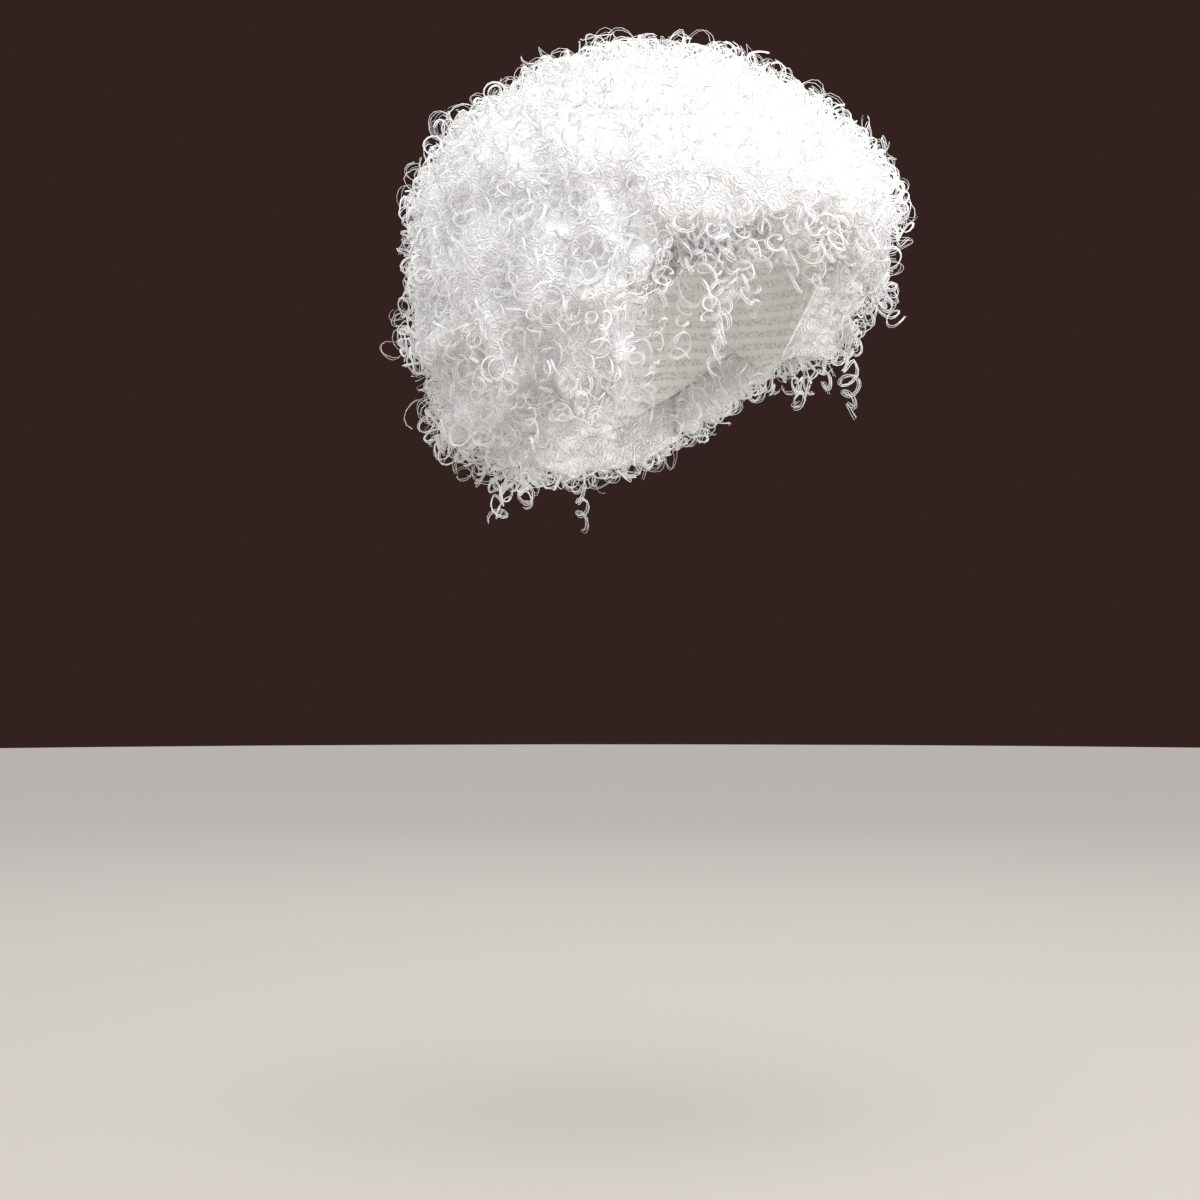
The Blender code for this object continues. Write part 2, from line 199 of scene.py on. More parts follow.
# Falling curls: the radius of a loop, and how far one loop falls. They are a little tighter than in the
# part's own source. LOOP_LEAN is how far a loop rises for each step ahead, LOOP_SWING how far it is turned
# from the one before it, in radians, and LOOP_VARIETY how fast the first loop's turn changes with the
# curl's place, in radians to the metre. The loops swell and shrink along the curl
RINGLET_RADIUS = 0.0058
RINGLET_PITCH = 0.0075
LOOP_LEAN = 1.2
LOOP_SWING = 0.9
LOOP_VARIETY = 400.0
LEAST_TURNS = 1.3
SWELL_MIDDLE = 0.85
SWELL_REACH = 0.25
SWELL_RATE = 8.0

# Curls along the hem lean sideways by up to this share of their length, and vary in size
HEM_LEAN = 0.2
HEM_SIZES = (0.60, 1.05)

# Where two backings face, each is moved this far towards the other. Where one faces the cap, it is drawn
# back a little. Points face another solid when it is this near, in grains of the backing, and when the
# product of both normals is below FACING_TURN
MEETING = 0.0016
BEHIND_CAP = 0.0005
FACING_REACH = 0.6
FACING_TURN = -0.75

# Coils stand at their full height this far from the head, and at LEAST_LIFT of it beside the head
FULL_LIFT_AT = 0.020
LEAST_LIFT = 0.8

# Tufts: patches of coils that stand higher or lower than their neighbours. They start this far from the
# head, as a share of FULL_LIFT_AT
TUFT_WIDTH = 0.022
TUFT_SHARE = 0.8
TUFT_START = 0.5
LOWEST_TUFT = -0.3

# Surfaces
FIBRE_ROUGHNESS = 0.42
FIBRE_IOR = 1.50
FIBRE_SHEEN = 0.15
SHEEN_ROUGHNESS = 0.5
PACKED_ROUGHNESS = 0.6
NET_ROUGHNESS = 0.8
FLOOR_ROUGHNESS = 0.9

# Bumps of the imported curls: how many curls and how many bends there are to the metre, how far a bend
# goes, how many radians of rings a curl's cell has, and the height of the relief
PACKED_CURLS = 120.0
PACKED_BENDS = 160.0
PACKED_BEND = 0.006
PACKED_RINGS = 30.0
PACKED_RELIEF = 0.0012
BUMP_STRENGTH = 0.7

# Bumps of the cap. A weft's foot and top are this far from its middle, in shares of the weft pitch. A
# hole ends and the thread starts this far from the hole's middle, in shares of the net pitch. The
# heights of weft and stitch are shares of the relief
WEFT_FOOT = 0.24
WEFT_TOP = 0.18
HOLE_EDGE = 0.20
THREAD_EDGE = 0.45
WEFT_HEIGHT = 0.9
STITCH_HEIGHT = 0.2
CAP_RELIEF = 0.0008

# The camera's place, as it was worked out from the photograph
CAMERA_PLACE = (-1.409, -1.121, -0.252)
CAMERA_TURN = math.radians(-50)
CAMERA_LENS = 91.8
SENSOR_WIDTH = 36.0

# The stage: lights with a diameter in metres and a power in watts, all turned to one point
FLOOR_LEVEL = -0.62
FLOOR_RADIUS = 6.0
FLOOR_SEGMENTS = 96
SKY_STRENGTH = 1.08
LIGHTS_AIM = (0.0, 0.0, -0.05)
Light = namedtuple("Light", "name place size power")
LIGHTS = (
    Light("key", (-1.2, -1.1, 2.1), 1.6, 49.0),
    Light("bounce", (0.7, -1.8, -0.10), 1.6, 26.0),
    Light("rim", (1.6, 1.2, 1.4), 1.2, 16.0),
)


def linear(value):
    """A colour's linear red, green and blue, from its sRGB hex value."""
    channels = [int(value[at : at + 2], 16) / 255 for at in (1, 3, 5)]
    return tuple(c / 12.92 if c <= 0.04045 else ((c + 0.055) / 1.055) ** 2.4 for c in channels)


def length(name, description, metres):
    return FloatProperty(
        name=name, description=description, default=metres, unit="LENGTH", precision=5
    )


def colour(name, description, value):
    return FloatVectorProperty(
        name=name, description=description, default=linear(value), subtype="COLOR", min=0.0, max=1.0
    )


class WigHairSettings(bpy.types.PropertyGroup):
    """Sizes and colours of the hair."""

    inset: length("Backing inset", "How far the backing lies below the hair's outer form", 0.0105)
    slope: FloatProperty(
        name="Inset slope", description="How much more the crown is inset than the middle", default=0.6
    )
    spacing: length("Coil spacing", "Least distance between two coils on the backing", 0.0076)
    coil_radius: length("Coil radius", "Radius of a coil of an average lock", 0.0056)
    coil_rise: length("Coil rise", "How far an average lock climbs along its own axis", 0.0072)
    highest: length("Coil height", "How high over the backing the highest coils are centred", 0.0075)
    turns: FloatProperty(name="Turns", description="Turns of a whole coil", default=1.6)
    fibres: IntProperty(name="Fibres", description="Strands of fibre in a lock", default=3)
    spread: length("Spread", "How far the strands of a lock lie apart", 0.0009)
    fibre_radius: length("Fibre radius", "Radius of one strand of fibre", 0.00032)
    wisp_spacing: length("Wisp spacing", "Least distance between two flyaway wisps", 0.0120)
    wisp_radius: length("Wisp radius", "Radius of a flyaway's open curl", 0.0078)
    wisp_fibre: length("Wisp thickness", "Radius of a flyaway fibre", 0.00017)
    seed: IntProperty(name="Seed", description="Seed of everything random in the hair", default=11)
    fibre_colour: colour("Fibre", "Colour of the fibre", "#FBFBFA")
    shade_colour: colour("Shade", "Colour of the fibre's shaded locks", "#F4F4F3")
    # Painted shade: the packed curls deep between the locks are coloured darker than the fibre, and darkest
    # in the troughs of their rings
    depth_shade_colour: colour("Depth", "Colour of the packed curls between the locks", "#EFEEED")


class WigCapSettings(bpy.types.PropertyGroup):
    """Sizes and colours of the net cap."""

    weft_pitch: length("Weft pitch", "Distance from one row of wefts to the next", 0.009)
    stitch_pitch: length("Stitch pitch", "Distance from one stitch of a weft to the next", 0.0030)
    net_pitch: length("Net pitch", "Distance from one hole of the net to the next", 0.0019)
    net_colour: colour("Net", "Colour of the net", "#E9E8E5")
    # Painted shade: the hair seen through the net's holes is coloured darker for the shade it lies in
    # behind the net
    hole_shade_colour: colour("Holes", "Colour of the hair behind the net's holes", "#D5D3D0")
    weft_colour: colour("Weft", "Colour of the sewn wefts", "#F1F0EE")


class WigStageSettings(bpy.types.PropertyGroup):
    """Floor, light and background."""

    floor_colour: colour("Floor", "Colour of the floor", "#A8A29D")
    backdrop_colour: colour("Background", "Colour behind the wig", "#31211E")
    sky_colour: colour("Studio", "Light that comes from all round", "#FEFEFF")


def add(tree, kind, inputs=None, out=None, **settings):
    """Adds a node with its settings. inputs gives sockets, by name or number, a value or a link.

    It gives back the node, or its output out.
    """
    node = tree.nodes.new(kind)
    for key, value in settings.items():
        setattr(node, key, value)
    for key, value in (inputs or {}).items():
        if isinstance(value, bpy.types.NodeSocket):
            tree.links.new(value, node.inputs[key])
        else:
            node.inputs[key].default_value = value
    return node if out is None else node.outputs[out]


def new_tree(name, inputs, output):
    """A Geometry Nodes tree with named inputs: (tree, its inputs' sockets by name)."""
    tree = bpy.data.node_groups.new(name, "GeometryNodeTree")
    for title, kind in inputs:
        tree.interface.new_socket(name=title, in_out="INPUT", socket_type="NodeSocket" + kind)
    tree.interface.new_socket(name=output, in_out="OUTPUT", socket_type="NodeSocketGeometry")
    entry = add(tree, "NodeGroupInput")
    return tree, {title: entry.outputs[title] for title, _ in inputs}


def end_tree(tree, result):
    add(tree, "NodeGroupOutput", {0: result})
    return tree


def stray(tree, scale, reach, own=0.0):
    """A smooth random offset that changes along a strand, up to reach each way."""
    put = partial(add, tree)
    place = put("GeometryNodeInputPosition", out=0)
    inputs = {"Vector": place, "W": own, "Scale": scale, "Detail": 0.0}
    cloud = put("ShaderNodeTexNoise", inputs, "Color", noise_dimensions="4D")
    centred = put("ShaderNodeVectorMath", {0: cloud, 1: (0.5, 0.5, 0.5)}, 0, operation="SUBTRACT")
    return put("ShaderNodeVectorMath", {0: centred, "Scale": reach}, 0, operation="SCALE")


def coil_tree():
    """Geometry Nodes: coils scattered over a backing, each turned its own way."""
    tree, given = new_tree(
        "Coils on a backing",
        (
            ("Backing", "Geometry"),
            ("Spacing", "Float"),
            ("Coil Radius", "Float"),
            ("Rise", "Float"),
            ("Turns", "Float"),
            ("Highest", "Float"),
            ("Seed", "Int"),
        ),
        "Locks",
    )
    put = partial(add, tree)
    cover = put("GeometryNodeInputNamedAttribute", {"Name": "cover"}, 0, data_type="FLOAT")
    lift = put("GeometryNodeInputNamedAttribute", {"Name": "lift"}, 0, data_type="FLOAT")
    cell = put("ShaderNodeMath", {0: given["Spacing"], 1: given["Spacing"]}, 0, operation="MULTIPLY")
    tries = put("ShaderNodeMath", {0: TRIES, 1: cell}, 0, operation="DIVIDE")
    points = put(
        "GeometryNodeDistributePointsOnFaces",
        {
            "Mesh": given["Backing"],
            "Distance Min": given["Spacing"],
            "Density Max": tries,
            "Density Factor": cover,
            "Seed": given["Seed"],
        },
        distribute_method="POISSON",
    )
    highest = given["Highest"]
    lowest = put("ShaderNodeMath", {0: highest, 1: LOWEST_COIL}, 0, operation="MULTIPLY")
    drawn = put("FunctionNodeRandomValue", {2: lowest, 3: highest, 8: 1}, 1, data_type="FLOAT")
    raised = put("ShaderNodeMath", {0: drawn, 1: lift}, 0, operation="MULTIPLY")
    raising = {0: points.outputs["Normal"], "Scale": raised}
    outward = put("ShaderNodeVectorMath", raising, 0, operation="SCALE")
    raising = {"Geometry": points.outputs["Points"], "Offset": outward}
    centres = put("GeometryNodeSetPosition", raising, 0)
    any_way = {0: (0.0, 0.0, 0.0), 1: (math.tau, math.tau, math.tau), 8: 2}
    turn = put("FunctionNodeRandomValue", any_way, 0, data_type="FLOAT_VECTOR")
    least, most = COIL_SIZES
    size = put("FunctionNodeRandomValue", {2: least, 3: most, 8: 3}, 1, data_type="FLOAT")
    least, most = COIL_STRETCHES
    share = put("FunctionNodeRandomValue", {2: least, 3: most, 8: 4}, 1, data_type="FLOAT")
    stretch = put("ShaderNodeMath", {0: size, 1: share}, 0, operation="MULTIPLY")
    tip = put("ShaderNodeMath", {0: given["Coil Radius"], 1: COIL_TIP}, 0, operation="MULTIPLY")
    coil = put(
        "GeometryNodeCurveSpiral",
        {
            "Resolution": COIL_STEPS,
            "Rotations": given["Turns"],
            "Start Radius": given["Coil Radius"],
            "End Radius": tip,
            "Height": given["Rise"],
        },
        0,
    )
    down = put("ShaderNodeMath", {0: given["Rise"], 1: -0.5}, 0, operation="MULTIPLY")
    middle = put("ShaderNodeCombineXYZ", {2: down}, 0)
    placed = put(
        "GeometryNodeInstanceOnPoints",
        {
            "Points": centres,
            "Instance": put("GeometryNodeSetPosition", {"Geometry": coil, "Offset": middle}, 0),
            "Rotation": put("FunctionNodeEulerToRotation", {0: turn}, 0),
            "Scale": put("ShaderNodeCombineXYZ", {0: size, 1: size, 2: stretch}, 0),
        },
        0,
    )
    real = put("GeometryNodeRealizeInstances", {"Geometry": placed}, 0)
    spline = put("GeometryNodeInputIndex", out=0)
    least, most = COIL_PARTS
    kept = {2: least, 3: most, 7: spline, 8: 5}
    part = put("FunctionNodeRandomValue", kept, 1, data_type="FLOAT")
    cut = put("GeometryNodeTrimCurve", {0: real, 3: part}, 0)
    bent = put("GeometryNodeSetPosition", {"Geometry": cut, "Offset": stray(tree, *COIL_BEND)}, 0)
    return end_tree(tree, bent)


def fibre_tree():
    """Geometry Nodes: a lock's middle line becomes tapered strands that part towards its tip."""
    tree, given = new_tree(
        "Fibres of a lock",
        (
            ("Locks", "Geometry"),
            ("Fibres", "Int"),
            ("Spread", "Float"),
            ("Fibre Radius", "Float"),
            ("Seed", "Int"),
        ),
        "Mesh",
    )
    put = partial(add, tree)
    lock = put("GeometryNodeInputIndex", out=0)
    chance = {2: 0.0, 3: 1.0, 7: lock, 8: given["Seed"]}
    drawn = put("FunctionNodeRandomValue", chance, 1, data_type="FLOAT")
    tone = put("GeometryNodeFieldOnDomain", {0: drawn}, 0, data_type="FLOAT", domain="CURVE")
    stored = {"Geometry": given["Locks"], "Name": "tone", "Value": tone}
    toned = put("GeometryNodeStoreNamedAttribute", stored, 0, data_type="FLOAT", domain="POINT")
    count = {"Geometry": toned, "Amount": given["Fibres"]}
    copies = put("GeometryNodeDuplicateElements", count, 0, domain="SPLINE")
    chance = {0: (-1.0, -1.0, -1.0), 1: (1.0, 1.0, 1.0), 8: given["Seed"]}
    side = put("FunctionNodeRandomValue", chance, 0, data_type="FLOAT_VECTOR")
    own = put("GeometryNodeFieldOnDomain", {0: side}, 0, data_type="FLOAT_VECTOR", domain="CURVE")
    along = put("GeometryNodeSplineParameter", out="Factor")
    shares = {0: along, 1: TIP_PARTING, 2: ROOT_PARTING}
    parting = put("ShaderNodeMath", shares, 0, operation="MULTIPLY_ADD")
    splay = put("ShaderNodeMath", {0: given["Spread"], 1: parting}, 0, operation="MULTIPLY")
    apart = put("ShaderNodeVectorMath", {0: own, "Scale": splay}, 0, operation="SCALE")
    first = put("ShaderNodeSeparateXYZ", {0: own}, 0)
    key = put("ShaderNodeMath", {0: first, 1: STRAND_VARIETY}, 0, operation="MULTIPLY")
    reach = put("ShaderNodeMath", {0: given["Spread"], 1: STRAND_WANDER}, 0, operation="MULTIPLY")
    wander = stray(tree, STRAND_SCALE, reach, key)
    offset = put("ShaderNodeVectorMath", {0: apart, 1: wander}, 0, operation="ADD")
    moved = put("GeometryNodeSetPosition", {"Geometry": copies, "Offset": offset}, 0)
    mark = put("ShaderNodeMath", {0: along, 1: ALONG_START}, 0, operation="ADD")
    stored = {"Geometry": moved, "Name": "along", "Value": mark}
    marked = put("GeometryNodeStoreNamedAttribute", stored, 0, data_type="FLOAT", domain="POINT")
    end = put("ShaderNodeMath", {0: along, 1: THINNING_POWER}, 0, operation="POWER")
    taper = put("ShaderNodeMath", {0: end, 1: -TIP_THINNING, 2: 1.0}, 0, operation="MULTIPLY_ADD")
    circle = {"Resolution": STRAND_SIDES, "Radius": 1.0}
    ring = put("GeometryNodeCurvePrimitiveCircle", circle, 0, mode="RADIUS")
    radius = put("ShaderNodeMath", {0: given["Fibre Radius"], 1: taper}, 0, operation="MULTIPLY")
    strand = {"Curve": marked, "Profile Curve": ring, "Scale": radius, "Fill Caps": True}
    tube = put("GeometryNodeCurveToMesh", strand, 0)
    return end_tree(tree, put("GeometryNodeSetShadeSmooth", {0: tube}, 0))


# Inputs of a section's tree: a title, the kind of socket and the setting that feeds it
HAIR_INPUTS = (
    ("Spacing", "Float", "spacing"),
    ("Coil Radius", "Float", "coil_radius"),
    ("Rise", "Float", "coil_rise"),
    ("Turns", "Float", "turns"),
    ("Highest", "Float", "highest"),
    ("Fibres", "Int", "fibres"),
    ("Spread", "Float", "spread"),
    ("Fibre Radius", "Float", "fibre_radius"),
    ("Wisp Spacing", "Float", "wisp_spacing"),
    ("Wisp Radius", "Float", "wisp_radius"),
    ("Wisp Thickness", "Float", "wisp_fibre"),
    ("Seed", "Int", "seed"),
)


def hair_tree():
    """Geometry Nodes: a section's backing with its locks, its hanging curls and its flyaway wisps."""
    coils = coil_tree()
    fibres = fibre_tree()
    tree, given = new_tree(
        "Hair section",
        (
            ("Geometry", "Geometry"),
            ("Fibre", "Material"),
            ("Packed", "Material"),
            *((title, kind) for title, kind, _ in HAIR_INPUTS),
        ),
        "Geometry",
    )
    put = partial(add, tree)
    sides = put("GeometryNodeInputMeshEdgeNeighbors", out=0)
    loose = put("FunctionNodeCompare", {2: sides, 3: 0}, 0, data_type="INT", operation="EQUAL")
    lines = put("GeometryNodeMeshToCurve", {"Mesh": given["Geometry"], "Selection": loose}, 0)
    bending = {"Geometry": lines, "Offset": stray(tree, *FALLING_BEND)}
    guides = put("GeometryNodeSetPosition", bending, 0)
    dropped = {"Geometry": given["Geometry"], "Selection": loose}
    backing = put("GeometryNodeDeleteGeometry", dropped, 0, domain="EDGE")
    later = put("ShaderNodeMath", {0: given["Seed"], 1: NEXT_SEED}, 0, operation="ADD")
    feeds = {name: given[name] for name in ("Spacing", "Coil Radius", "Rise", "Turns", "Highest", "Seed")}
    locks = put("GeometryNodeGroup", {"Backing": backing, **feeds}, 0, node_tree=coils)
    feeds = {
        "Backing": backing,
        "Spacing": given["Wisp Spacing"],
        "Coil Radius": given["Wisp Radius"],
        "Rise": given["Wisp Radius"],
        "Turns": given["Turns"],
        "Highest": put("ShaderNodeMath", {0: given["Highest"], 1: WISP_HEIGHT}, 0, operation="MULTIPLY"),
        "Seed": later,
    }
    flying = put("GeometryNodeGroup", feeds, 0, node_tree=coils)
    fuller = put("ShaderNodeMath", {0: given["Fibres"], 1: EXTRA_STRANDS}, 0, operation="ADD")
    wider = put("ShaderNodeMath", {0: given["Spread"], 1: WISP_SPREAD}, 0, operation="MULTIPLY")
    strands = put("GeometryNodeJoinGeometry")
    for source, count, spread, radius, seed in (
        (locks, given["Fibres"], given["Spread"], given["Fibre Radius"], given["Seed"]),
        (guides, fuller, given["Spread"], given["Fibre Radius"], later),
        (flying, WISP_STRANDS, wider, given["Wisp Thickness"], later),
    ):
        feeds = {"Locks": source, "Fibres": count, "Spread": spread, "Fibre Radius": radius, "Seed": seed}
        bundles = put("GeometryNodeGroup", feeds, 0, node_tree=fibres)
        tree.links.new(bundles, strands.inputs[0])
    fibre = {0: strands.outputs[0], "Material": given["Fibre"]}
    dressed = put("GeometryNodeSetMaterial", fibre, 0)
    whole = put("GeometryNodeJoinGeometry")
    for part in (dressed, backing):
        tree.links.new(part, whole.inputs[0])
    real = put("GeometryNodeRealizeInstances", {"Geometry": whole.outputs[0]}, 0)
    along = put("GeometryNodeInputNamedAttribute", {"Name": "along"}, 0, data_type="FLOAT")
    start = {0: along, 1: ALONG_START / 2}
    bare = put("FunctionNodeCompare", start, 0, data_type="FLOAT", operation="LESS_THAN")
    finish = {"Geometry": real, "Selection": bare, "Material": given["Packed"]}
    return end_tree(tree, put("GeometryNodeSetMaterial", finish, 0))


def column(rows, name):
    return [getattr(row, name) for row in rows]


def mixed(rows, key, at, name):
    """A column of a table at any place between its rows."""
    return float(np.interp(at, column(rows, key), column(rows, name)))


def head_point(azimuth, depth):
    """A point on the head at a depth below its crown."""
    share = depth / CROWN_TO_WIDEST
    long = wide = math.sqrt(1 - (1 - share) ** 2) if share < 1 else 1.0
    shift = 0.0
    if share >= 1:
        names = ("length", "width", "shift")
        long, wide, shift = (mixed(HEAD_SECTIONS, "depth", share, name) for name in names)
    angle = math.radians(azimuth)
    x = HEAD_WIDTH / 2 * wide * math.sin(angle)
    y = HEAD_LENGTH * shift - HEAD_LENGTH / 2 * long * math.cos(angle)
    return Vector((x, y, -depth))


def hair_point(azimuth, height, inset):
    """A point on the hair's outer form, or inset below it."""
    front = HEAD_LENGTH / 2 + CAP_WALL + HAIR_OVER_FACE
    back = HEAD_LENGTH / 2 + CAP_WALL + HAIR_OVER_BACK
    half_width = HEAD_WIDTH / 2 + CAP_WALL + HAIR_OVER_SIDES - inset
    half_length = (front + back) / 2 - inset
    rise = CAP_WALL + HAIR_OVER_CROWN - inset
    share = mixed(HEM, "azimuth", (azimuth + 180) % 360 - 180, "share")
    drop = FRINGE_DROP + share * (NAPE_DROP - FRINGE_DROP) - inset
    girth = mixed(HAIR_SECTIONS, "height", height, "girth")
    angle = math.radians(azimuth)
    x = half_width * girth * math.sin(angle)
    y = (back - front) / 2 - half_length * girth * math.cos(angle)
    return Vector((x, y, height * (rise if height > 0 else drop)))


def from_head(points):
    """How far points lie from the head's surface, in metres, roughly."""
    depth = -points[:, 2] / CROWN_TO_WIDEST
    below = np.maximum(depth, 1.0)
    long, wide, shift = (
        np.interp(below, column(HEAD_SECTIONS, "depth"), column(HEAD_SECTIONS, name))
        for name in ("length", "width", "shift")
    )
    x = points[:, 0] / (HEAD_WIDTH / 2 * wide)
    y = (points[:, 1] - HEAD_LENGTH * shift) / (HEAD_LENGTH / 2 * long)
    up = np.maximum(1.0 - depth, 0.0)
    return (np.sqrt(x**2 + y**2 + up**2) - 1.0) * HEAD_WIDTH / 2


def curl(start, fall, radius):
    """A falling curl's middle line: loops that stand on edge, each turned a little from the last."""
    up = Vector((0.0, 0.0, 1.0))
    outward = Vector((start.x, start.y, 0.0)).normalized()
    sideways = outward.cross(up)
    own = LOOP_VARIETY * (start.x + start.y)
    turns = max(LEAST_TURNS, fall.length / RINGLET_PITCH)
    steps = math.ceil(turns * RINGLET_STEPS)
    points = []
    for step in range(steps + 1):
        share = step / steps
        swing = own + LOOP_SWING * turns * share
        ahead = math.cos(swing) * outward + math.sin(swing) * sideways
        leaning = (ahead + LOOP_LEAN * up).normalized()
        angle = math.tau * turns * share
        turned = math.sin(angle) * ahead.cross(up) - math.cos(angle) * leaning
        swell = SWELL_MIDDLE + SWELL_REACH * math.sin(SWELL_RATE * share + own)
        points.append(start + fall * share + radius * swell * turned)
    return points


def inside_hair(azimuth, height, share):
    """A point at a share of the way from the head to the hair's outside."""
    outer = hair_point(azimuth, height, 0.0)
    return head_point(azimuth, -outer.z).lerp(outer, share)


def ringlet_points(ringlet):
    """The middle line of a ringlet that hangs free."""
    start = inside_hair(ringlet.azimuth, -ringlet.depth, ringlet.reach)
    outward = Vector((start.x, start.y, 0.0)).normalized()
    fall = NAPE_DROP * (ringlet.out * outward - Vector((0, 0, ringlet.fall)))
    return curl(start, fall, RINGLET_RADIUS)


def hem_curls(section, seed):
    """Short curls that hang along a section's hem, as long as CURL_ROWS says."""
    draw = random.Random(seed)
    paths = []
    for row in CURL_ROWS:
        if row.section != section:
            continue
        for place in range(row.count):
            azimuth = row.first + (row.last - row.first) * (place + draw.random()) / row.count
            height = draw.uniform(row.low, row.high)
            start = inside_hair(azimuth, height, draw.uniform(row.near, row.far))
            lean = Vector((draw.uniform(-HEM_LEAN, HEM_LEAN), draw.uniform(-HEM_LEAN, HEM_LEAN), -1.0))
            lean += row.out * Vector((start.x, start.y, 0.0)).normalized()
            fall = lean * draw.uniform(row.shortest, row.longest)
            paths.append(curl(start, fall, RINGLET_RADIUS * draw.uniform(*HEM_SIZES)))
    return paths


def merged(mesh, name):
    """A copy of a mesh of loose triangles, with its points joined."""
    shape = bmesh.new()
    shape.from_mesh(mesh)
    bmesh.ops.remove_doubles(shape, verts=shape.verts, dist=WELD)
    copy = bpy.data.meshes.new(name)
    shape.to_mesh(copy)
    shape.free()
    return copy


def hair_form(inset, slope):
    """The hair's outer form as a closed shape, inset all round, and more so towards the crown."""
    shape = bmesh.new()
    bmesh.ops.create_uvsphere(shape, u_segments=FORM_SEGMENTS, v_segments=FORM_RINGS, radius=1.0)
    for vertex in shape.verts:
        azimuth = math.degrees(math.atan2(vertex.co.x, -vertex.co.y))
        height = 1 - 2 * math.acos(max(-1.0, min(1.0, vertex.co.z))) / math.pi
        vertex.co = hair_point(azimuth, height, inset * (1 + slope * height))
    bmesh.ops.triangulate(shape, faces=shape.faces)
    bmesh.ops.recalc_face_normals(shape, faces=shape.faces)
    mesh = bpy.data.meshes.new("hair_form")
    shape.to_mesh(mesh)
    shape.free()
    form = bpy.data.objects.new("hair_form", mesh)
    bpy.context.scene.collection.objects.link(form)
    return form


def drop(thing):
    """Removes a helper object and its mesh."""
    mesh = thing.data
    bpy.data.objects.remove(thing)
    bpy.data.meshes.remove(mesh)


def settled(piece):
    """The mesh of an object with its modifiers applied."""
    graph = bpy.context.evaluated_depsgraph_get()
    return bpy.data.meshes.new_from_object(piece.evaluated_get(graph), depsgraph=graph)


def search_tree(names):
    """A search tree of some of the wig's solids."""
    corners, faces = [], []
    for name in names:
        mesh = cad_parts[name].data
        first = len(corners)
        corners.extend(vertex.co.copy() for vertex in mesh.vertices)
        faces.extend([first + at for at in face.vertices] for face in mesh.polygons)
    return BVHTree.FromPolygons(corners, faces)


def facing(vertex, others):
    """Whether a point of a backing lies against another solid, face to face."""
    _, normal, _, away = others.find_nearest(vertex.co)
    return away < FACING_REACH * BACKING_GRAIN and normal.dot(vertex.normal) < FACING_TURN


def backing_mesh(name, look):
    """A section's packed curls: its solid, cut back to below the locks and evened out.

    Its cover attribute is 0 where it lies against the cap or another section, so no coils grow there.
    Its lift says how high coils stand, less near the head. Two sections' backings meet, as their curls do.
    """
    piece = bpy.data.objects.new(name + "_backing", merged(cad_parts[name].data, name))
    bpy.context.scene.collection.objects.link(piece)
    form = hair_form(look.inset, look.slope)
    room = piece.modifiers.new("room", "BOOLEAN")
    room.operation = "INTERSECT"
    room.solver = "MANIFOLD"
    room.object = form
    grain = piece.modifiers.new("grain", "REMESH")
    grain.mode = "VOXEL"
    grain.voxel_size = BACKING_GRAIN
    mesh = settled(piece)
    drop(piece)
    drop(form)
    cap = search_tree(["cap"])
    hair = search_tree([other for other in HAIR_NODES if other != name])
    meets = np.array([facing(vertex, hair) for vertex in mesh.vertices], float)
    behind = np.array([facing(vertex, cap) for vertex in mesh.vertices], float)
    cover = 1.0 - np.maximum(meets, behind)
    points = np.empty(3 * len(mesh.vertices))
    mesh.vertices.foreach_get("co", points)
    points = points.reshape(-1, 3)
    normals = np.array([vertex.normal for vertex in mesh.vertices])
    points += (MEETING * meets - BEHIND_CAP * behind)[:, None] * normals
    ends = np.empty(2 * len(mesh.edges), int)
    mesh.edges.foreach_get("vertices", ends)
    ends = ends.reshape(-1, 2)
    meeting = np.bincount(ends.ravel(), minlength=len(points))[:, None]
    for _ in range(BACKING_SMOOTHING):
        total = np.zeros_like(points)
        np.add.at(total, ends[:, 0], points[ends[:, 1]])
        np.add.at(total, ends[:, 1], points[ends[:, 0]])
        points += SMOOTHING_SHARE * cover[:, None] * (total / meeting - points)
    mesh.vertices.foreach_set("co", points.ravel())
    gap = from_head(points) / FULL_LIFT_AT
    outside = cover * np.clip(gap - TUFT_START, 0.0, 1.0)
    tufts = np.array([noise.noise(Vector(point) / TUFT_WIDTH) for point in points]) * outside
    lift = np.clip(gap, LEAST_LIFT, 1.0) * (1.0 + TUFT_SHARE * np.maximum(tufts, LOWEST_TUFT))
    for title, values in (("cover", cover), ("lift", lift)):
        attribute = mesh.attributes.new(title, "FLOAT", "POINT")
        attribute.data.foreach_set("value", values.astype(np.float32))
    return mesh


def with_guides(mesh, paths):
    """Adds lines of loose edges to a mesh, along which the tree draws falling curls."""
    shape = bmesh.new()
    shape.from_mesh(mesh)
    for path in paths:
        corners = [shape.verts.new(point) for point in path]
        for start, end in zip(corners, corners[1:]):
            shape.edges.new((start, end))
    shape.to_mesh(mesh)
    shape.free()


def new_material(name, roughness):
    """A material and its shader, or None in place of the shader where the material is already there."""
    material = bpy.data.materials.get(name)
    if material:
        return material, None
    material = bpy.data.materials.new(name)
    material.use_nodes = True
    material.node_tree.nodes["Principled BSDF"].inputs["Roughness"].default_value = roughness
    return material, material.node_tree.nodes["Principled BSDF"]


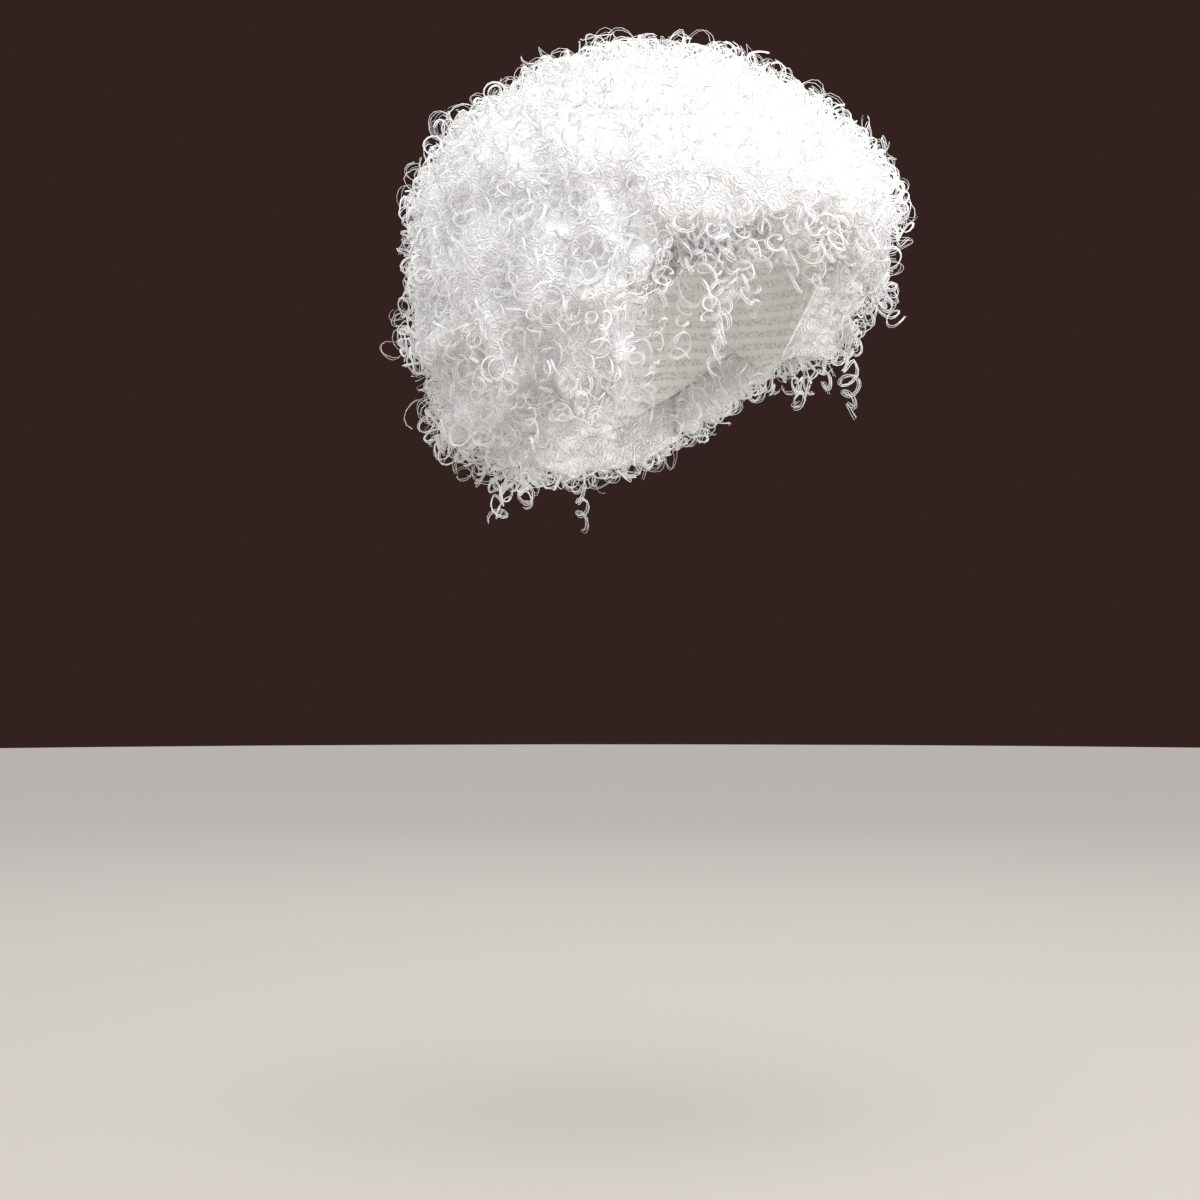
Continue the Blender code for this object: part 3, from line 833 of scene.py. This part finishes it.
def fibre_material(look):
    """Heat-set synthetic fibre: smooth round strands, white, with a soft satin gleam along each curl."""
    material, shader = new_material("heat_set_fibre", FIBRE_ROUGHNESS)
    if shader is None:
        return material
    tree = material.node_tree
    tone = add(tree, "ShaderNodeAttribute", out="Fac", attribute_name="tone")
    shades = {0: tone, 6: (*look.shade_colour, 1.0), 7: (*look.fibre_colour, 1.0)}
    mix = add(tree, "ShaderNodeMix", shades, 2, data_type="RGBA")
    tree.links.new(mix, shader.inputs["Base Color"])
    shader.inputs["IOR"].default_value = FIBRE_IOR
    shader.inputs["Sheen Weight"].default_value = FIBRE_SHEEN
    shader.inputs["Sheen Roughness"].default_value = SHEEN_ROUGHNESS
    return material


def packed_material(look):
    """The same fibre, packed: a relief of small rings between the locks, like curls deep in the hair. Its
    colour holds painted shade: darker than the loose fibre, and darker still in the rings' troughs.
    """
    material, shader = new_material("packed_curls", PACKED_ROUGHNESS)
    if shader is None:
        return material
    tree = material.node_tree
    put = partial(add, tree)
    place = put("ShaderNodeTexCoord", out="Object")
    inputs = {"Vector": place, "Scale": PACKED_BENDS, "Detail": 2.0}
    cloud = put("ShaderNodeTexNoise", inputs, "Color")
    bent = put("ShaderNodeVectorMath", {0: cloud, "Scale": PACKED_BEND}, 0, operation="SCALE")
    moved = put("ShaderNodeVectorMath", {0: place, 1: bent}, 0, operation="ADD")
    cells = put("ShaderNodeTexVoronoi", {"Vector": moved, "Scale": PACKED_CURLS}, "Distance")
    wave = put("ShaderNodeMath", {0: cells, 1: PACKED_RINGS}, 0, operation="MULTIPLY")
    rings = put("ShaderNodeMath", {0: wave}, 0, operation="SINE")
    height = put("ShaderNodeMath", {0: rings, 1: 0.5, 2: 0.5}, 0, operation="MULTIPLY_ADD")
    relief = {"Strength": BUMP_STRENGTH, "Distance": PACKED_RELIEF, "Height": height}
    bump = put("ShaderNodeBump", relief, 0)
    tree.links.new(bump, shader.inputs["Normal"])
    # Painted shade: the rings' troughs take the darker depth shade, and their crests the lighter tone
    shades = {0: height, 6: (*look.depth_shade_colour, 1.0), 7: (*look.shade_colour, 1.0)}
    mix = put("ShaderNodeMix", shades, 2, data_type="RGBA")
    tree.links.new(mix, shader.inputs["Base Color"])
    return material


def cap_material(look):
    """Stretch net with sewn wefts: a matt mesh of small holes under raised rows of stitched fibre. The
    holes carry painted shade, darker for the shaded hair behind them.
    """
    material, shader = new_material("stretch_net_and_wefts", NET_ROUGHNESS)
    if shader is None:
        return material
    tree = material.node_tree
    put = partial(add, tree)
    place = put("ShaderNodeTexCoord", out="Object")
    widest = {"Vector": place, "Location": (0.0, 0.0, CROWN_TO_WIDEST)}
    centred = put("ShaderNodeMapping", widest, 0)
    parts = put("ShaderNodeSeparateXYZ", {0: centred})
    flat = put("ShaderNodeCombineXYZ", {0: parts.outputs[0], 1: parts.outputs[1]}, 0)
    out = put("ShaderNodeVectorMath", {0: flat}, "Value", operation="LENGTH")
    fall = put("ShaderNodeMath", {0: out, 1: parts.outputs[2]}, 0, operation="ARCTAN2")
    pitch = {0: fall, 1: CROWN_TO_WIDEST / look.weft_pitch}
    rows = put("ShaderNodeMath", pitch, 0, operation="MULTIPLY")
    across = put("ShaderNodeMath", {0: rows}, 0, operation="FRACT")
    middle = put("ShaderNodeMath", {0: across, 1: 0.5}, 0, operation="SUBTRACT")
    away = put("ShaderNodeMath", {0: middle}, 0, operation="ABSOLUTE")
    weft = put("ShaderNodeMapRange", {0: away, 1: WEFT_FOOT, 2: WEFT_TOP}, 0)
    sides = {0: parts.outputs[0], 1: parts.outputs[1]}
    turn = put("ShaderNodeMath", sides, 0, operation="ARCTAN2")
    pitch = {0: turn, 1: HEAD_WIDTH / 2 / look.stitch_pitch * math.tau}
    phase = put("ShaderNodeMath", pitch, 0, operation="MULTIPLY")
    stitch = put("ShaderNodeMath", {0: phase}, 0, operation="SINE")
    heights = {0: stitch, 1: STITCH_HEIGHT, 2: WEFT_HEIGHT}
    sewn = put("ShaderNodeMath", heights, 0, operation="MULTIPLY_ADD")
    holes = put("ShaderNodeTexVoronoi", {"Vector": place, "Scale": 1 / look.net_pitch}, "Distance")
    open_net = put("ShaderNodeMapRange", {0: holes, 1: HOLE_EDGE, 2: THREAD_EDGE}, 0)
    height = put("ShaderNodeMix", {0: weft, 2: open_net, 3: sewn}, 0, data_type="FLOAT")
    relief = {"Strength": BUMP_STRENGTH, "Distance": CAP_RELIEF, "Height": height}
    bump = put("ShaderNodeBump", relief, 0)
    tree.links.new(bump, shader.inputs["Normal"])
    # Painted shade in the net's holes
    shades = {0: open_net, 6: (*look.hole_shade_colour, 1.0), 7: (*look.net_colour, 1.0)}
    net = put("ShaderNodeMix", shades, 2, data_type="RGBA")
    shades = {0: weft, 6: net, 7: (*look.weft_colour, 1.0)}
    mix = put("ShaderNodeMix", shades, 2, data_type="RGBA")
    tree.links.new(mix, shader.inputs["Base Color"])
    return material


class WIG_OT_hair(bpy.types.Operator):
    """Covers one section of the wig with locks, ringlets and wisps"""

    bl_idname = "wig.hair"
    bl_label = "Cover a section"
    section: StringProperty(name="Section", description="The section's name", default="crown_hair")

    def execute(self, context):
        look = context.scene.wig_hair
        mesh = backing_mesh(self.section, look)
        hanging = [ringlet for ringlet in RINGLETS if ringlet.section == self.section]
        ringlets = [ringlet_points(ringlet) for ringlet in hanging]
        with_guides(mesh, ringlets + hem_curls(self.section, look.seed))
        mesh.shade_smooth()
        mesh.materials.clear()
        mesh.materials.append(packed_material(look))
        piece = bpy.data.objects.new(self.section + "_locks", mesh)
        context.scene.collection.objects.link(piece)
        tree = bpy.data.node_groups.get("Hair section") or hair_tree()
        locks = piece.modifiers.new("locks", "NODES")
        locks.node_group = tree
        items = [item for item in tree.interface.items_tree if item.in_out == "INPUT"]
        sockets = {item.name: item.identifier for item in items}
        locks[sockets["Fibre"]] = fibre_material(look)
        locks[sockets["Packed"]] = packed_material(look)
        for title, _, name in HAIR_INPUTS:
            locks[sockets[title]] = getattr(look, name)
        locks[sockets["Seed"]] = look.seed + SECTION_SEED * HAIR_NODES.index(self.section)
        piece.data = settled(piece)
        piece.modifiers.clear()
        # The strands come with an empty slot of their own
        slots = piece.data.materials
        for place in reversed([at for at, material in enumerate(slots) if material is None]):
            slots.pop(index=place)
        bpy.data.meshes.remove(mesh)
        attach(piece, "root")
        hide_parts(self.section)
        return {"FINISHED"}


class WIG_OT_cap(bpy.types.Operator):
    """Gives the cap its net and wefts"""

    bl_idname = "wig.cap"
    bl_label = "Finish the cap"

    def execute(self, context):
        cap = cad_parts["cap"]
        cap.data.materials.clear()
        cap.data.materials.append(cap_material(context.scene.wig_cap))
        return {"FINISHED"}


def area_light(light):
    lamp = bpy.data.lights.new(light.name, "AREA")
    lamp.shape = "DISK"
    lamp.size = light.size
    lamp.energy = light.power
    shining = bpy.data.objects.new(light.name, lamp)
    shining.location = light.place
    away = Vector(light.place) - Vector(LIGHTS_AIM)
    shining.rotation_euler = away.to_track_quat("Z", "Y").to_euler()
    bpy.context.scene.collection.objects.link(shining)


class WIG_OT_stage(bpy.types.Operator):
    """Adds the floor, the light, the background and the camera"""

    bl_idname = "wig.stage"
    bl_label = "Set the stage"

    def execute(self, context):
        look = context.scene.wig_stage
        mesh = bpy.data.meshes.new("floor")
        shape = bmesh.new()
        bmesh.ops.create_circle(shape, cap_ends=True, segments=FLOOR_SEGMENTS, radius=FLOOR_RADIUS)
        bmesh.ops.translate(shape, verts=shape.verts, vec=(0, 0, FLOOR_LEVEL))
        shape.to_mesh(mesh)
        shape.free()
        floor = bpy.data.objects.new("floor", mesh)
        context.scene.collection.objects.link(floor)
        material, shader = new_material("matt_floor", FLOOR_ROUGHNESS)
        shader.inputs["Base Color"].default_value = (*look.floor_colour, 1.0)
        mesh.materials.append(material)

        world = bpy.data.worlds.new("studio")
        world.use_nodes = True
        context.scene.world = world
        tree = world.node_tree
        seen = add(tree, "ShaderNodeLightPath", out="Is Camera Ray")
        shades = {0: seen, 6: (*look.sky_colour, 1.0), 7: (*look.backdrop_colour, 1.0)}
        mix = add(tree, "ShaderNodeMix", shades, 2, data_type="RGBA")
        tree.links.new(mix, tree.nodes["Background"].inputs["Color"])
        tree.nodes["Background"].inputs["Strength"].default_value = SKY_STRENGTH
        context.scene.view_settings.view_transform = "Standard"
        for light in LIGHTS:
            area_light(light)

        view = bpy.data.cameras.new("camera")
        view.lens = CAMERA_LENS
        view.sensor_width = SENSOR_WIDTH
        camera = bpy.data.objects.new("camera", view)
        camera.location = CAMERA_PLACE
        camera.rotation_euler = (math.pi / 2, 0.0, CAMERA_TURN)
        context.scene.collection.objects.link(camera)
        context.scene.camera = camera
        return {"FINISHED"}


class WIG_PT_panel(bpy.types.Panel):
    """The wig's pieces and their sizes"""

    bl_idname = "WIG_PT_panel"
    bl_label = "Curly afro wig"
    bl_space_type = "VIEW_3D"
    bl_region_type = "UI"
    bl_category = "Wig"

    def draw(self, context):
        for settings, operator in (
            (context.scene.wig_hair, WIG_OT_hair),
            (context.scene.wig_cap, WIG_OT_cap),
            (context.scene.wig_stage, WIG_OT_stage),
        ):
            box = self.layout.box()
            for name in settings.bl_rna.properties.keys():
                if name not in ("rna_type", "name"):
                    box.prop(settings, name)
            box.operator(operator.bl_idname)


CLASSES = (
    WigHairSettings,
    WigCapSettings,
    WigStageSettings,
    WIG_OT_hair,
    WIG_OT_cap,
    WIG_OT_stage,
    WIG_PT_panel,
)


def register():
    for item in CLASSES:
        bpy.utils.register_class(item)
    bpy.types.Scene.wig_hair = PointerProperty(type=WigHairSettings)
    bpy.types.Scene.wig_cap = PointerProperty(type=WigCapSettings)
    bpy.types.Scene.wig_stage = PointerProperty(type=WigStageSettings)


def unregister():
    del bpy.types.Scene.wig_stage
    del bpy.types.Scene.wig_cap
    del bpy.types.Scene.wig_hair
    for item in reversed(CLASSES):
        bpy.utils.unregister_class(item)


def main():
    register()
    for section in HAIR_NODES:
        bpy.ops.wig.hair(section=section)
    bpy.ops.wig.cap()
    bpy.ops.wig.stage()


if __name__ == "__main__":
    main()
